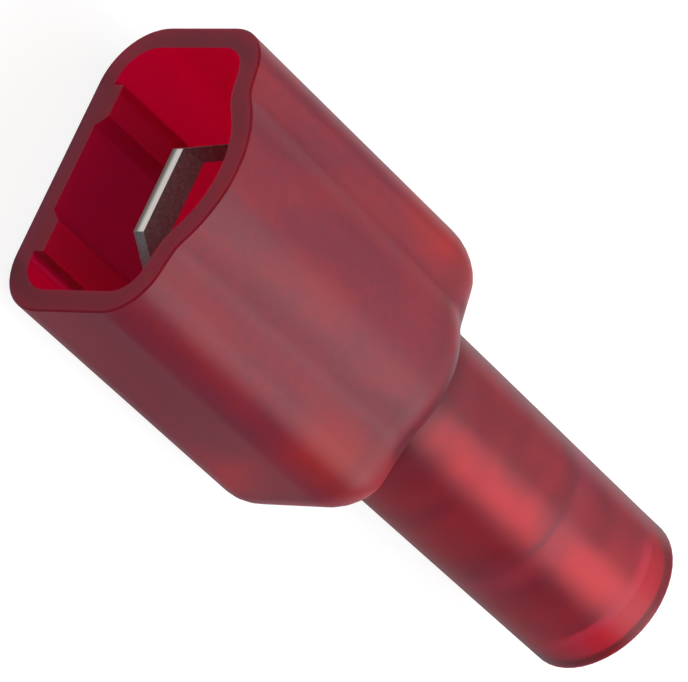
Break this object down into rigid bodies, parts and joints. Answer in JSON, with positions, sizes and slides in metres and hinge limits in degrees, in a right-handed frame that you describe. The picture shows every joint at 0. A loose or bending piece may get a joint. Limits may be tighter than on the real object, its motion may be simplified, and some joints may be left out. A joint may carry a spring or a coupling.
{
  "type": "insulated male quick-disconnect terminal",
  "caption": "Nylon-insulated male quick-disconnect: a domed rectangular shroud around a flat metal tab, and a round crimp barrel for a small wire.",
  "frame": {"origin": "on the resting surface, under the middle of the part's box: the shroud's flat side lies on Z = 0", "axes": "+X from the open mouth of the shroud to the wire entry, along the tab and the barrel; +Y across the tab's width; +Z from the flat side to the crown"},
  "size_m": [0.0196, 0.0082, 0.0062],
  "materials": {
    "nylon": "satin",
    "tinned_brass": "satin",
    "sleeve_metal": "satin"
  },
  "bodies": {
    "root": {"housing": "nylon", "tab_terminal": "tinned_brass", "support_sleeve": "sleeve_metal"}
  },
  "joints": []
}
